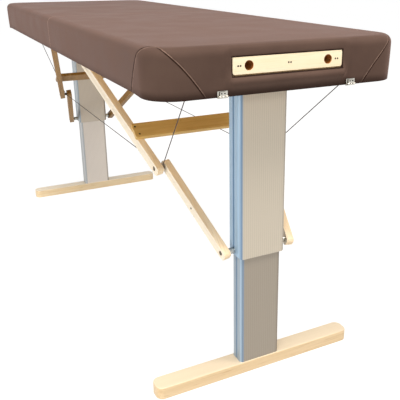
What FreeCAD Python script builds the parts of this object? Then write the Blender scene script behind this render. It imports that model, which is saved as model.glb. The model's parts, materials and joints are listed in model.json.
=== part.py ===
import FreeCAD, Part
import os
import math

V = FreeCAD.Vector

# Sizes in millimetres. X is the width, Y the length, Z is up from the floor.
# The near half lies at negative Y and the far half is its mirror image.

# Table top
PAD_W = 650.0
TOP_Z = 913.0
PAD_T = 103.0
CORNER_R = 75.0
FOLD_R = 6.0
FOLD_GAP = 1.0
SKIN = 3.0
SIDE_LINING = 5.5
FOLD_SKIN = 1.0
SIDE_PULL = 2.5
CROWN_Z = 2.0
EDGE_R = 26.0
EDGE_STEPS = 6
FOLD_EDGE = 0.15

# Frame under the top
RAIL_T = 15.0
FOLD_RAIL_T = 15.0
DECK_T = 9.0

# Lifting column
COL_SET = 141.0
HINGE_UP = 5.0
OUTER_W = 136.0
OUTER_D = 64.0
OUTER_R = 12.0
OUTER_WALL = 3.0
OUTER_END_R = 9.0
OUTER_Z0 = 350.0
INNER_W = 120.0
INNER_D = 48.0
INNER_R = 9.0
INNER_WALL = 2.6
GROOVE_W = 8.0
GROOVE_DEEP = 1.2
HEAD_DROP = 15.0
HEAD_RISE = 21.0
LIFT = 300.0
LIFT_SPARE = 5.0
BUSH_L = 40.0
BUSH_SET = 5.0
BUSH_CLEAR = 0.15
NUT_H = 25.0
NUT_CLEAR = 0.1
NUT_SIDE = 16.0
SPINDLE_R = 7.0
SPINDLE_CLEAR = 0.1
SPINDLE_TAIL = 30.0
MOTOR_R = 14.0
MOTOR_L = 95.0
MOTOR_CLEAR = 4.0
PLUG_H = 25.0

# Foot beam
FOOT_W = 54.0
FOOT_H = 33.0
FOOT_R = 20.0
FOOT_EASE = 3.0
FOOT_SIDE_CLEAR = 2.5
FOOT_END_CLEAR = 2.5

# Leg hinge
PIN_R = 6.0
PIN_CLEAR = 0.05
PIN_SPARE = 2.0
EAR_T = 8.0
EAR_GAP = 1.0
EAR_R = 16.0
FLANGE_W = 26.0
FLANGE_T = 5.0

# Folding brace
LINK_W = 32.0
LOW_LINK_W = 28.0
LINK_T = 20.0
LINK_END = 18.0
LINK_ROUND = 10.0
PIVOT_FROM_FOLD = 180.0
LEG_FOLD = 85.0
PIVOT_IN = 22.5
KNEE_X = 165.0
KNEE_GAP = 10.0
COLUMN_PIVOT_UP = 17.0
COLUMN_LINK_GAP = 19.0
BOLT_R = 4.0
BOLT_CLEAR = 0.08
BOLT_HEAD_R = 5.5
BOLT_HEAD_T = 4.0
HEAD_SUNK = 5.5
HEAD_ROOM = 1.0
SPACER_R = 8.0
END_CLEAR = 0.4
BOARD_FROM_KNEE = 95.0
BOARD_W = 52.0
BOARD_T = 12.0
BOARD_CLEAR = 1.0
BOARD_COLUMN_CLEAR = 1.25
COLUMN_DROP = 5.25

# Cables
CABLE_R = 1.2
CABLE_KNEE_CLEAR = 1.0
CABLE_END_CLEAR = 2.0
ANCHOR_X = 224.0
ANCHOR_DOWN = 5.0

# Headrest plate and the block behind it
PLATE_W = 282.0
PLATE_H = 36.5
PLATE_T = 8.0
PLATE_R = 5.0
PLATE_IN = 1.0
PLATE_CLEAR = 0.3
SOCKET_DOWN = 46.0
SOCKET_GAP = 204.0
SOCKET_R = 10.5
BLOCK_W = 300.0
BLOCK_H = 40.0
BLOCK_D = 60.0

# Fold hinges
KNUCKLE_R = 4.0
LEAF_T = 2.0
LEAF_X = 200.0
LEAF_L = 80.0
LEAF_D = 14.0
KNUCKLE_L = 22.0
KNUCKLE_GAP = 1.0
FOLD_PIN_R = 2.0
FOLD_PIN_CLEAR = 0.06

# Latches
LATCH_X = 167.0
LATCH_W = 24.0
LATCH_H = 16.0
LATCH_T = 2.0
LATCH_BELOW = 8.0
LATCH_GAP = 0.2
LATCH_TONGUE = 18.0
LEVER_W = 15.0
LEVER_H = 10.5
LEVER_T = 2.0
LEVER_UP = 4.0
BARREL_R = 2.5
LUG_T = 3.0
LATCH_PIN_R = 1.2
LATCH_PIN_CLEAR = 0.06
HOOK_W = 16.0
HOOK_H = 4.0

# Control box
BOX_W = 280.0
BOX_D = 56.0
BOX_H = 34.0
BOX_IN = 9.0
BOX_R = 5.0
INLET_W = 27.0
INLET_H = 20.0
INLET_DEEP = 8.0

# Levels and places that follow from the sizes
FRAME_Z0 = TOP_Z - PAD_T
HINGE_Z = FRAME_Z0 + HINGE_UP
# Folded short of flat, the column lies lower under the brace board than at its hinge.
PIVOT_Z = HINGE_Z + OUTER_D / 2 - COLUMN_DROP - LINK_W / 2 + BOARD_COLUMN_CLEAR
DECK_Z0 = PIVOT_Z + LINK_W / 2 + BOARD_T + BOARD_CLEAR
DECK_Z1 = DECK_Z0 + DECK_T
FOLD_FACE = FOLD_GAP / 2 + FOLD_SKIN
COL_Y = -(HINGE_Z + FOOT_END_CLEAR + FOLD_RAIL_T + FOLD_FACE)
HALF_L = COL_SET - COL_Y
RAIL_OUT_X = PAD_W / 2 - SIDE_LINING
RAIL_OUT_Y = -(HALF_L - SIDE_LINING)
RAIL_IN_X = RAIL_OUT_X - RAIL_T
RAIL_IN_Y = RAIL_OUT_Y + RAIL_T
FOOT_L = 2 * (RAIL_IN_X - FOOT_SIDE_CLEAR)
OUTER_Z1 = HINGE_Z - HEAD_DROP
HEAD_Z1 = HINGE_Z + HEAD_RISE
INNER_Z1 = OUTER_Z1 - LIFT - LIFT_SPARE
SOCKET_Z = TOP_Z - SOCKET_DOWN

# Brace points in the YZ plane: A on the column, T at the side rail, K the knee.
# The upper link is as long as lets the folded brace lie flat under the deck.
A_Y = COL_Y
A_Z = OUTER_Z0 + COLUMN_PIVOT_UP
T_Y = -PIVOT_FROM_FOLD
T_Z = PIVOT_Z
FOLDED_A_Y = COL_Y + (HINGE_Z - A_Z) * math.sin(math.radians(LEG_FOLD))
FOLDED_A_Z = HINGE_Z - (HINGE_Z - A_Z) * math.cos(math.radians(LEG_FOLD))
REACH = math.hypot(T_Y - A_Y, T_Z - A_Z)
DY = T_Y - FOLDED_A_Y
DZ = T_Z - FOLDED_A_Z
UPPER_L = (REACH ** 2 - DY ** 2 - DZ ** 2) / (2 * (REACH - DY))
LOWER_L = REACH - UPPER_L
DIR_Y = (T_Y - A_Y) / REACH
DIR_Z = (T_Z - A_Z) / REACH
K_Y = T_Y - DIR_Y * UPPER_L
K_Z = T_Z - DIR_Z * UPPER_L
A_X = OUTER_W / 2 + COLUMN_LINK_GAP + LINK_T / 2
LOW_K_X = KNEE_X - KNEE_GAP / 2 - LINK_T / 2
UP_K_X = KNEE_X + KNEE_GAP / 2 + LINK_T / 2
T_X = RAIL_IN_X - PIVOT_IN


def box(x0, x1, y0, y1, z0, z1):
    return Part.makeBox(x1 - x0, y1 - y0, z1 - z0, V(x0, y0, z0))


def rounded_wire(x0, x1, y0, y1, z, r_low, r_high):
    # A rectangle with one corner radius at its low Y end and one at its high Y end
    k = math.sqrt(0.5)
    a = r_low
    b = r_high
    edges = [
        Part.LineSegment(V(x0 + a, y0, z), V(x1 - a, y0, z)).toShape(),
        Part.Arc(V(x1 - a, y0, z), V(x1 - a + a * k, y0 + a - a * k, z), V(x1, y0 + a, z)).toShape(),
        Part.LineSegment(V(x1, y0 + a, z), V(x1, y1 - b, z)).toShape(),
        Part.Arc(V(x1, y1 - b, z), V(x1 - b + b * k, y1 - b + b * k, z), V(x1 - b, y1, z)).toShape(),
        Part.LineSegment(V(x1 - b, y1, z), V(x0 + b, y1, z)).toShape(),
        Part.Arc(V(x0 + b, y1, z), V(x0 + b - b * k, y1 - b + b * k, z), V(x0, y1 - b, z)).toShape(),
        Part.LineSegment(V(x0, y1 - b, z), V(x0, y0 + a, z)).toShape(),
        Part.Arc(V(x0, y0 + a, z), V(x0 + a - a * k, y0 + a - a * k, z), V(x0 + a, y0, z)).toShape(),
    ]
    return Part.Wire(edges)


def slab(w, d, r, y, z0, z1):
    wire = rounded_wire(-w / 2, w / 2, y - d / 2, y + d / 2, z0, r, r)
    return Part.Face(wire).extrude(V(0, 0, z1 - z0))


def rod_x(x0, x1, y, z, r):
    return Part.makeCylinder(r, x1 - x0, V(x0, y, z), V(1, 0, 0))


def rod_y(x, y0, y1, z, r):
    return Part.makeCylinder(r, y1 - y0, V(x, y0, z), V(0, 1, 0))


def pair(shape):
    # The piece and its mirror image across the table's long middle plane
    return Part.makeCompound([shape, shape.mirror(V(0, 0, 0), V(1, 0, 0))])


def far(shape):
    return shape.mirror(V(0, 0, 0), V(0, 1, 0))


def half_wire(z, inset, fold_inset):
    hx = PAD_W / 2 - inset
    y0 = -(HALF_L - inset)
    y1 = -(FOLD_GAP / 2 + fold_inset)
    r0 = max(CORNER_R - inset, FOLD_R)
    return rounded_wire(-hx, hx, y0, y1, z, r0, FOLD_R)


def pad_body(extra, z_from, z_top):
    # Soft top: sides drawn in at the bottom, a rounded edge and a low crown
    edge_z = z_top - CROWN_Z
    bend_z = edge_z - EDGE_R
    pull = SIDE_PULL if z_from <= FRAME_Z0 else 0.0
    middle = (z_from + bend_z) / 2
    rows = [(z_from, pull, 0.0), ((z_from + middle) / 2, pull * 0.3, 0.0), (middle, 0.0, 0.0)]
    for i in range(EDGE_STEPS + 1):
        angle = math.pi / 2 * i / EDGE_STEPS
        inset = EDGE_R * (1 - math.cos(angle))
        rows.append((bend_z + EDGE_R * math.sin(angle), inset, inset * FOLD_EDGE))
    rows.append((z_top - CROWN_Z * 0.3, EDGE_R * 1.8, EDGE_R * 1.8 * FOLD_EDGE))
    rows.append((z_top, EDGE_R * 3, EDGE_R * 3 * FOLD_EDGE))
    wires = []
    for z, inset, fold_inset in rows:
        wires.append(half_wire(z, inset + extra, fold_inset + min(extra, FOLD_SKIN)))
    return Part.makeLoft(wires, True, True)


def frame_prism(z0, z1):
    wire = half_wire(z0, SIDE_LINING, FOLD_SKIN)
    return Part.Face(wire).extrude(V(0, 0, z1 - z0))


def link_bar(p0, p1, width, end0, end1):
    # Straight bar from p0 to p1, its width in the YZ plane and its ends rounded
    along = p1.sub(p0)
    length = along.Length
    d = V(along).multiply(1.0 / length)
    n = d.cross(V(1, 0, 0))
    n.normalize()
    if n.z < 0:
        n = n.multiply(-1)
    t = n.cross(d)
    corner = p0.sub(V(t).multiply(LINK_T / 2))
    outline = rounded_wire(-width / 2, width / 2, -end0, length + end1, 0, LINK_ROUND, LINK_ROUND)
    bar = Part.Face(outline).extrude(V(0, 0, LINK_T))
    turn = FreeCAD.Matrix(n.x, d.x, t.x, corner.x,
                          n.y, d.y, t.y, corner.y,
                          n.z, d.z, t.z, corner.z)
    bar.transformShape(turn)
    return bar


def tilt_of(x0, x1, length):
    return math.atan2(x1 - x0, length)


# Table top, one half: cover, foam, deck and rails
def make_top(with_headrest):
    plate_y0 = -(HALF_L - PLATE_IN)
    block_y0 = plate_y0 + PLATE_T
    block = box(-BLOCK_W / 2, BLOCK_W / 2, block_y0, block_y0 + BLOCK_D,
                SOCKET_Z - BLOCK_H / 2, SOCKET_Z + BLOCK_H / 2)
    plate_face = rounded_wire(-PLATE_W / 2, PLATE_W / 2, SOCKET_Z - PLATE_H / 2, SOCKET_Z + PLATE_H / 2,
                              0, PLATE_R, PLATE_R)
    wide = PLATE_W / 2 + PLATE_CLEAR
    high = PLATE_H / 2 + PLATE_CLEAR
    hole_face = rounded_wire(-wide, wide, SOCKET_Z - high, SOCKET_Z + high, 0,
                             PLATE_R + PLATE_CLEAR, PLATE_R + PLATE_CLEAR)
    upright = FreeCAD.Placement(V(0, 0, 0), FreeCAD.Rotation(V(1, 0, 0), 90))

    outer = pad_body(0.0, FRAME_Z0, TOP_Z)
    foam = pad_body(SKIN, DECK_Z1, TOP_Z - SKIN)
    prism = frame_prism(FRAME_Z0, DECK_Z1)
    cover = outer.cut(prism).cut(foam)
    deck = frame_prism(DECK_Z0, DECK_Z1)

    ring = frame_prism(FRAME_Z0, DECK_Z0)
    r_in = max(CORNER_R - SIDE_LINING - RAIL_T, 1.0)
    inside = Part.Face(rounded_wire(-RAIL_IN_X, RAIL_IN_X, RAIL_IN_Y, -FOLD_FACE + FOLD_RAIL_T, FRAME_Z0,
                                    r_in, 1.0)).extrude(V(0, 0, DECK_Z0 - FRAME_Z0))
    ring = ring.cut(inside)
    corner_y = RAIL_OUT_Y + CORNER_R - SIDE_LINING
    end_rail = ring.common(box(-PAD_W, PAD_W, RAIL_OUT_Y - 1, corner_y, FRAME_Z0, DECK_Z0))
    sides = ring.common(box(-PAD_W, PAD_W, corner_y, 0, FRAME_Z0, DECK_Z0))
    bolt_hole = rod_x(-PAD_W / 2, PAD_W / 2, T_Y, T_Z, BOLT_R)
    bolt_room = box(-RAIL_OUT_X, RAIL_OUT_X, T_Y - 2 * BOLT_R, T_Y + 2 * BOLT_R, FRAME_Z0, DECK_Z0)
    sides = sides.cut(bolt_hole.common(bolt_room))
    fold_rail = box(-RAIL_IN_X, RAIL_IN_X, -FOLD_FACE - FOLD_RAIL_T, -FOLD_FACE, FRAME_Z0, DECK_Z0)

    made = {}
    if with_headrest:
        hole = Part.Face(hole_face).extrude(V(0, 0, BLOCK_D))
        hole.Placement = upright
        hole.translate(V(0, block_y0, 0))
        hole = hole.fuse(hole.translated(V(0, -BLOCK_D / 2, 0)))
        plate = Part.Face(plate_face).extrude(V(0, 0, PLATE_T))
        plate.Placement = upright
        plate.translate(V(0, block_y0, 0))
        for side in (-1, 1):
            socket = rod_y(side * SOCKET_GAP / 2, plate_y0 - 1, block_y0 + BLOCK_D + 1, SOCKET_Z, SOCKET_R)
            plate = plate.cut(socket)
            block = block.cut(socket)
        pocket = box(-BLOCK_W / 2, BLOCK_W / 2, block_y0, block_y0 + BLOCK_D,
                     SOCKET_Z - BLOCK_H / 2, SOCKET_Z + BLOCK_H / 2)
        cover = cover.cut(hole).cut(pocket)
        foam = foam.cut(hole).cut(pocket)
        deck = deck.cut(hole).cut(pocket)
        end_rail = end_rail.cut(hole).cut(pocket)
        made["headrest_plate"] = plate
        made["headrest_block"] = block
    made["cover"] = cover
    made["foam"] = foam
    made["deck"] = deck
    made["end_rail"] = end_rail
    made["side_rails"] = sides
    made["fold_rail"] = fold_rail
    return made


# Lifting column, leg hinge and foot of the near half
def make_leg():
    made = {}
    side = OUTER_W / 2
    outer = slab(OUTER_W, OUTER_D, OUTER_R, COL_Y, OUTER_Z0, OUTER_Z1)
    cavity_w = OUTER_W - 2 * OUTER_WALL
    cavity_d = OUTER_D - 2 * OUTER_WALL
    cavity_r = OUTER_R - OUTER_WALL
    outer = outer.cut(slab(cavity_w, cavity_d, cavity_r, COL_Y, OUTER_Z0, OUTER_Z1))
    inner = slab(INNER_W, INNER_D, INNER_R, COL_Y, FOOT_H, INNER_Z1)
    hollow_w = INNER_W - 2 * INNER_WALL
    hollow_d = INNER_D - 2 * INNER_WALL
    hollow_r = INNER_R - INNER_WALL
    inner = inner.cut(slab(hollow_w, hollow_d, hollow_r, COL_Y, FOOT_H, INNER_Z1))
    for s in (-1, 1):
        x = s * side
        groove = box(min(x, x - s * GROOVE_DEEP), max(x, x - s * GROOVE_DEEP),
                     COL_Y - GROOVE_W / 2, COL_Y + GROOVE_W / 2, OUTER_Z0, OUTER_Z1)
        outer = outer.cut(groove)
        x = s * INNER_W / 2
        groove = box(min(x, x - s * GROOVE_DEEP), max(x, x - s * GROOVE_DEEP),
                     COL_Y - GROOVE_W / 2, COL_Y + GROOVE_W / 2, FOOT_H, INNER_Z1)
        inner = inner.cut(groove)
    outer = outer.cut(rod_x(-side, side, A_Y, A_Z, BOLT_R))
    # The lower corners of the wide faces are rounded
    form = Part.Face(rounded_wire(-side, side, OUTER_Z0, OUTER_Z1 + OUTER_END_R, 0,
                                  OUTER_END_R, OUTER_END_R / 2))
    form.rotate(V(0, 0, 0), V(1, 0, 0), 90)
    form.translate(V(0, COL_Y - OUTER_D, 0))
    made["outer_tube"] = outer.common(form.extrude(V(0, 2 * OUTER_D, 0)))
    made["inner_tube"] = inner

    spacer_end = spacer_limit()
    spacer = rod_x(side, spacer_end, A_Y, A_Z, SPACER_R)
    shank = rod_x(side - OUTER_WALL, side, A_Y, A_Z, BOLT_R)
    made["column_spacers"] = pair(spacer.fuse(shank))

    head = slab(OUTER_W, OUTER_D, OUTER_R, COL_Y, OUTER_Z1, HEAD_Z1)
    made["column_head"] = head.cut(rod_x(-side, side, COL_Y, HINGE_Z, PIN_R + PIN_CLEAR))

    bush_z0 = OUTER_Z0 + BUSH_SET
    bush = slab(cavity_w, cavity_d, cavity_r, COL_Y, bush_z0, bush_z0 + BUSH_L)
    made["guide_bush"] = bush.cut(slab(INNER_W + 2 * BUSH_CLEAR, INNER_D + 2 * BUSH_CLEAR,
                                       INNER_R + BUSH_CLEAR, COL_Y, bush_z0, bush_z0 + BUSH_L))

    motor_x = NUT_SIDE + MOTOR_CLEAR + MOTOR_R
    made["lift_motor"] = Part.makeCylinder(MOTOR_R, MOTOR_L, V(motor_x, COL_Y, OUTER_Z1 - MOTOR_L))
    spindle_z0 = INNER_Z1 - NUT_H - SPINDLE_TAIL
    made["lift_spindle"] = Part.makeCylinder(SPINDLE_R, OUTER_Z1 - spindle_z0, V(0, COL_Y, spindle_z0))
    nut = slab(hollow_w - 2 * NUT_CLEAR, hollow_d - 2 * NUT_CLEAR, hollow_r - NUT_CLEAR, COL_Y,
               INNER_Z1 - NUT_H, INNER_Z1)
    nut = nut.cut(box(NUT_SIDE, OUTER_W, COL_Y - OUTER_D, COL_Y + OUTER_D, INNER_Z1 - NUT_H, INNER_Z1))
    made["spindle_nut"] = nut.cut(Part.makeCylinder(SPINDLE_R + SPINDLE_CLEAR, NUT_H,
                                                    V(0, COL_Y, INNER_Z1 - NUT_H)))
    made["foot_plug"] = slab(hollow_w - 2 * NUT_CLEAR, hollow_d - 2 * NUT_CLEAR, hollow_r - NUT_CLEAR,
                             COL_Y, FOOT_H, FOOT_H + PLUG_H)

    foot = slab(FOOT_L, FOOT_W, FOOT_R, COL_Y, 0, FOOT_H)
    top_edges = []
    for edge in foot.Edges:
        if edge.BoundBox.ZMin > FOOT_H - 0.01:
            top_edges.append(edge)
    made["foot_beam"] = foot.makeFillet(FOOT_EASE, top_edges)

    ear_x0 = side + EAR_GAP
    ear_x1 = ear_x0 + EAR_T
    ear = rod_x(ear_x0, ear_x1, COL_Y, HINGE_Z, EAR_R)
    ear = ear.fuse(box(ear_x0, ear_x1, COL_Y - EAR_R, COL_Y + EAR_R, HINGE_Z, DECK_Z0))
    ear = ear.fuse(box(ear_x0, ear_x1 + FLANGE_W, COL_Y - EAR_R, COL_Y + EAR_R, DECK_Z0 - FLANGE_T, DECK_Z0))
    ear = ear.removeSplitter()
    ear = ear.cut(rod_x(ear_x0, ear_x1, COL_Y, HINGE_Z, PIN_R))
    made["leg_bracket"] = pair(ear)
    made["leg_pin"] = rod_x(-ear_x1 - PIN_SPARE, ear_x1 + PIN_SPARE, COL_Y, HINGE_Z, PIN_R)
    return made


def low_tilt():
    return tilt_of(A_X, LOW_K_X, LOWER_L)


def up_tilt():
    return tilt_of(UP_K_X, T_X, UPPER_L)


def spacer_limit():
    # The spacer on the column stops clear of the slanted end of the lower link
    tilt = low_tilt()
    return A_X - LINK_T / 2 / math.cos(tilt) - (LINK_END + LOW_LINK_W / 2) * math.tan(tilt) / 2 - END_CLEAR


# Folding brace and cables of the near half
def make_brace():
    made = {}
    a = V(A_X, A_Y, A_Z)
    k_low = V(LOW_K_X, K_Y, K_Z)
    k_up = V(UP_K_X, K_Y, K_Z)
    t = V(T_X, T_Y, T_Z)
    half_low = LINK_T / 2 / math.cos(low_tilt())
    half_up = LINK_T / 2 / math.cos(up_tilt())
    slant_low = BOLT_HEAD_R * math.tan(low_tilt()) + END_CLEAR
    slant_up = BOLT_HEAD_R * math.tan(up_tilt()) + END_CLEAR

    lower = link_bar(a, k_low, LOW_LINK_W, LINK_END, LINK_END)
    lower = lower.cut(rod_x(0, PAD_W / 2, A_Y, A_Z, BOLT_R))
    lower = lower.cut(rod_x(0, PAD_W / 2, K_Y, K_Z, BOLT_R + BOLT_CLEAR))
    # The bolt heads lie in counterbores
    a_head = A_X + half_low + slant_low - HEAD_SUNK
    inner_head = LOW_K_X - half_low - slant_low + HEAD_SUNK
    outer_head = UP_K_X + half_up + slant_up - HEAD_SUNK
    lower = lower.cut(rod_x(a_head, PAD_W / 2, A_Y, A_Z, BOLT_HEAD_R + HEAD_ROOM))
    lower = lower.cut(rod_x(0, inner_head + END_CLEAR, K_Y, K_Z, BOLT_HEAD_R + HEAD_ROOM))
    made["lower_links"] = pair(lower)
    upper = link_bar(k_up, t, LINK_W, LINK_END, LINK_END)
    upper = upper.cut(rod_x(0, PAD_W / 2, K_Y, K_Z, BOLT_R))
    upper = upper.cut(rod_x(outer_head, PAD_W / 2, K_Y, K_Z, BOLT_HEAD_R + HEAD_ROOM))
    upper = upper.cut(rod_x(0, PAD_W / 2, T_Y, T_Z, BOLT_R + BOLT_CLEAR))
    made["upper_links"] = pair(upper)

    knee = rod_x(inner_head, outer_head, K_Y, K_Z, BOLT_R)
    knee = knee.fuse(rod_x(inner_head - BOLT_HEAD_T, inner_head, K_Y, K_Z, BOLT_HEAD_R))
    knee = knee.fuse(rod_x(outer_head, outer_head + BOLT_HEAD_T, K_Y, K_Z, BOLT_HEAD_R))
    knee_low = LOW_K_X + half_low + slant_low
    knee_high = UP_K_X - half_up - slant_up
    knee = knee.fuse(rod_x(knee_low, knee_high, K_Y, K_Z, BOLT_HEAD_R))
    made["knee_bolts"] = pair(knee)

    bolt = rod_x(spacer_limit() + END_CLEAR, a_head, A_Y, A_Z, BOLT_R)
    bolt = bolt.fuse(rod_x(a_head, a_head + BOLT_HEAD_T, A_Y, A_Z, BOLT_HEAD_R))
    made["column_bolts"] = pair(bolt)

    pivot_x0 = T_X - half_up - slant_up
    pivot = rod_x(pivot_x0, RAIL_OUT_X, T_Y, T_Z, BOLT_R)
    pivot = pivot.fuse(rod_x(pivot_x0 - BOLT_HEAD_T, pivot_x0, T_Y, T_Z, BOLT_HEAD_R))
    pivot = pivot.fuse(rod_x(T_X + half_up + slant_up, RAIL_IN_X, T_Y, T_Z, BOLT_HEAD_R))
    made["link_pivots"] = pair(pivot)

    # The board lies across the two upper links, on their upper faces
    mid = BOARD_FROM_KNEE + BOARD_W / 2
    board_x = UP_K_X + (T_X - UP_K_X) * mid / UPPER_L + half_up
    points = []
    for along, up in ((0, 0), (BOARD_W, 0), (BOARD_W, BOARD_T), (0, BOARD_T), (0, 0)):
        s = BOARD_FROM_KNEE + along
        h = LINK_W / 2 + up
        points.append(V(-board_x, K_Y + DIR_Y * s - DIR_Z * h, K_Z + DIR_Z * s + DIR_Y * h))
    board = Part.Face(Part.makePolygon(points)).extrude(V(2 * board_x, 0, 0))
    made["brace_board"] = board

    anchor = V(ANCHOR_X, RAIL_IN_Y, DECK_Z0 - ANCHOR_DOWN)
    knee_at = V(KNEE_X, K_Y, K_Z)
    run = anchor.sub(knee_at)
    d = V(run).normalize()
    start = knee_at.add(V(d).multiply(BOLT_HEAD_R + CABLE_R + CABLE_KNEE_CLEAR))
    length = run.Length - BOLT_HEAD_R - CABLE_R - CABLE_KNEE_CLEAR - CABLE_END_CLEAR
    made["end_cables"] = pair(Part.makeCylinder(CABLE_R, length, start, d))
    return made


def make_fold_hinges(near):
    z = FRAME_Z0 - KNUCKLE_R
    x1 = LEAF_X + LEAF_L
    step = KNUCKLE_R + KNUCKLE_GAP / 2
    leaf = box(LEAF_X, x1, -FOLD_FACE - LEAF_D, -step, FRAME_Z0 - LEAF_T, FRAME_Z0)
    if near:
        spans = [(LEAF_X, LEAF_X + KNUCKLE_L), (x1 - KNUCKLE_L, x1)]
        bore = FOLD_PIN_R
    else:
        spans = [(LEAF_X + KNUCKLE_L + KNUCKLE_GAP, x1 - KNUCKLE_L - KNUCKLE_GAP)]
        bore = FOLD_PIN_R + FOLD_PIN_CLEAR
    for x_from, x_to in spans:
        leaf = leaf.fuse(rod_x(x_from, x_to, 0, z, KNUCKLE_R))
        leaf = leaf.fuse(box(x_from, x_to, -step, 0, FRAME_Z0 - LEAF_T, FRAME_Z0))
    leaf = leaf.removeSplitter()
    leaf = leaf.cut(rod_x(LEAF_X, x1, 0, z, bore))
    if not near:
        return pair(far(leaf))
    pin = rod_x(LEAF_X, x1, 0, z, FOLD_PIN_R)
    both = []
    for piece in (leaf, pin):
        both.append(piece)
        both.append(piece.mirror(V(0, 0, 0), V(1, 0, 0)))
    return Part.makeCompound(both)


LATCH_Z0 = FRAME_Z0 - LATCH_BELOW
LATCH_Y = -(HALF_L + LATCH_GAP + LATCH_T)
LEVER_Y = LATCH_Y - BARREL_R - LATCH_GAP
LEVER_Z = LATCH_Z0 + LEVER_UP


def latch_plate(x):
    front = box(x - LATCH_W / 2, x + LATCH_W / 2, LATCH_Y, LATCH_Y + LATCH_T, LATCH_Z0, LATCH_Z0 + LATCH_H)
    under = box(x - LATCH_W / 2, x + LATCH_W / 2, LATCH_Y, LATCH_Y + LATCH_TONGUE,
                FRAME_Z0 - LATCH_T, FRAME_Z0)
    return front.fuse(under).removeSplitter()


def latch_base(x):
    plate = latch_plate(x)
    for s in (-1, 1):
        x0 = x + s * (LEVER_W / 2 + LATCH_GAP)
        x1 = x0 + s * LUG_T
        lug = rod_x(min(x0, x1), max(x0, x1), LEVER_Y, LEVER_Z, BARREL_R)
        lug = lug.fuse(box(min(x0, x1), max(x0, x1), LEVER_Y, LATCH_Y, LEVER_Z - BARREL_R, LEVER_Z + BARREL_R))
        plate = plate.fuse(lug)
    reach = LEVER_W / 2 + LATCH_GAP + LUG_T
    plate = plate.fuse(rod_x(x - reach, x + reach, LEVER_Y, LEVER_Z, LATCH_PIN_R))
    return plate.removeSplitter()


def latch_lever(x):
    lever = rod_x(x - LEVER_W / 2, x + LEVER_W / 2, LEVER_Y, LEVER_Z, BARREL_R)
    lever = lever.fuse(box(x - LEVER_W / 2, x + LEVER_W / 2, LEVER_Y - LEVER_T / 2, LEVER_Y + LEVER_T / 2,
                           LEVER_Z, LEVER_Z + LEVER_H))
    lever = lever.removeSplitter()
    return lever.cut(rod_x(x - LEVER_W / 2, x + LEVER_W / 2, LEVER_Y, LEVER_Z, LATCH_PIN_R + LATCH_PIN_CLEAR))


def latch_catch(x):
    hook_z = LATCH_Z0 + LATCH_H / 2
    hook = box(x - HOOK_W / 2, x + HOOK_W / 2, LEVER_Y - BARREL_R, LATCH_Y, hook_z, hook_z + HOOK_H)
    return far(latch_plate(x).fuse(hook).removeSplitter())


def make_control_box():
    y1 = -RAIL_IN_Y - BOX_IN
    y0 = y1 - BOX_D
    body = slab(BOX_W, BOX_D, BOX_R, (y0 + y1) / 2, DECK_Z0 - BOX_H, DECK_Z0)
    mid_y = (y0 + y1) / 2
    mid_z = DECK_Z0 - BOX_H / 2
    inlet = box(BOX_W / 2 - INLET_DEEP, BOX_W / 2, mid_y - INLET_W / 2, mid_y + INLET_W / 2,
                mid_z - INLET_H / 2, mid_z + INLET_H / 2)
    return body.cut(inlet)


def main():
    parts = {}
    for half, headrest in (("near", True), ("far", False)):
        made = make_top(headrest)
        made.update(make_leg())
        made.update(make_brace())
        for name, shape in made.items():
            if name.startswith("headrest"):
                parts[name] = shape
            elif half == "near":
                parts["near_" + name] = shape
            else:
                parts["far_" + name] = far(shape)
    parts["near_fold_hinges"] = make_fold_hinges(True)
    parts["far_fold_hinges"] = make_fold_hinges(False)
    parts["latch_bases"] = Part.makeCompound([latch_base(-LATCH_X), latch_base(LATCH_X)])
    parts["latch_lever_left"] = latch_lever(-LATCH_X)
    parts["latch_lever_right"] = latch_lever(LATCH_X)
    parts["latch_catches"] = Part.makeCompound([latch_catch(-LATCH_X), latch_catch(LATCH_X)])
    parts["control_box"] = make_control_box()

    # One cable on each side from the near knee to the far knee
    reach = -K_Y - BOLT_HEAD_R - CABLE_R - CABLE_KNEE_CLEAR
    parts["knee_cables"] = pair(rod_y(KNEE_X, -reach, reach, K_Z, CABLE_R))

    os.makedirs("parts", exist_ok=True)
    for name, shape in parts.items():
        shape.exportStep("parts/" + name + ".step")
    print("nodes", len(parts))
    print("knee", round(K_Y, 3), round(K_Z, 3), "upper", round(UPPER_L, 3), "lower", round(LOWER_L, 3))
    print("column", round(COL_Y, 3), "hinge", round(HINGE_Z, 3), "pivot", round(T_Y, 3), round(T_Z, 3))
    print("deck", round(DECK_Z0, 3), "half", round(HALF_L, 3), "lever", round(LEVER_Y, 3), round(LEVER_Z, 3))


main()
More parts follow.
